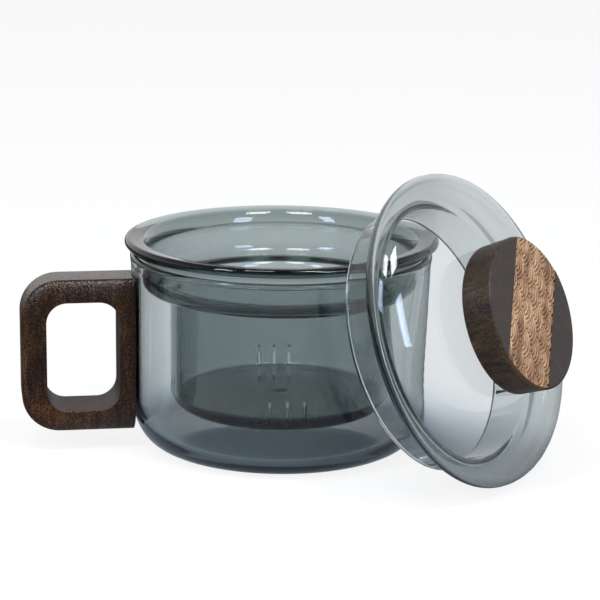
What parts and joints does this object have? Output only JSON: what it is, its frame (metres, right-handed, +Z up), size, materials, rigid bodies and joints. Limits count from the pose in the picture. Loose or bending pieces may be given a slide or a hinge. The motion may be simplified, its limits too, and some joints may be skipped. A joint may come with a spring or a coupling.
{
  "type": "lidded tea mug with infuser",
  "caption": "Smoked glass tea mug with a hanging glass infuser, a D-shaped wooden handle and a lift-off glass lid with a wooden knob, the lid leaning on the rim.",
  "frame": {"origin": "centre of the mug's flat base, on the mug's axis, on the table", "axes": "+Z up along the mug's axis; the handle points to -X, turned 9 degrees to -Y; the leaning lid is on the +X and -Y side"},
  "size_m": [0.1732, 0.1293, 0.0922],
  "materials": {
    "smoked_glass": "clear grey borosilicate glass, polished",
    "dark_wood": "dark stained walnut-like wood, satin oil",
    "carved_wood": "lighter brown wood carved with a wave pattern, satin",
    "clear_adhesive": "cured clear glass-to-wood adhesive"
  },
  "bodies": {
    "mug": {"mug_body": "smoked_glass", "handle": "dark_wood", "handle_glue": "clear_adhesive"},
    "infuser": {"infuser": "smoked_glass"},
    "lid": {"lid_glass": "smoked_glass", "lid_knob": "dark_wood", "knob_inlay": "carved_wood", "knob_glue": "clear_adhesive"}
  },
  "joints": [
    {"name": "infuser_lift", "type": "slide", "parent": "mug", "child": "infuser", "axis": [0, 0, 1], "range_m": [0, 0.06]},
    {"name": "lid_lift", "type": "slide", "parent": "infuser", "child": "lid", "axis": [0, 0, 1], "range_m": [0, 0.075]}
  ]
}
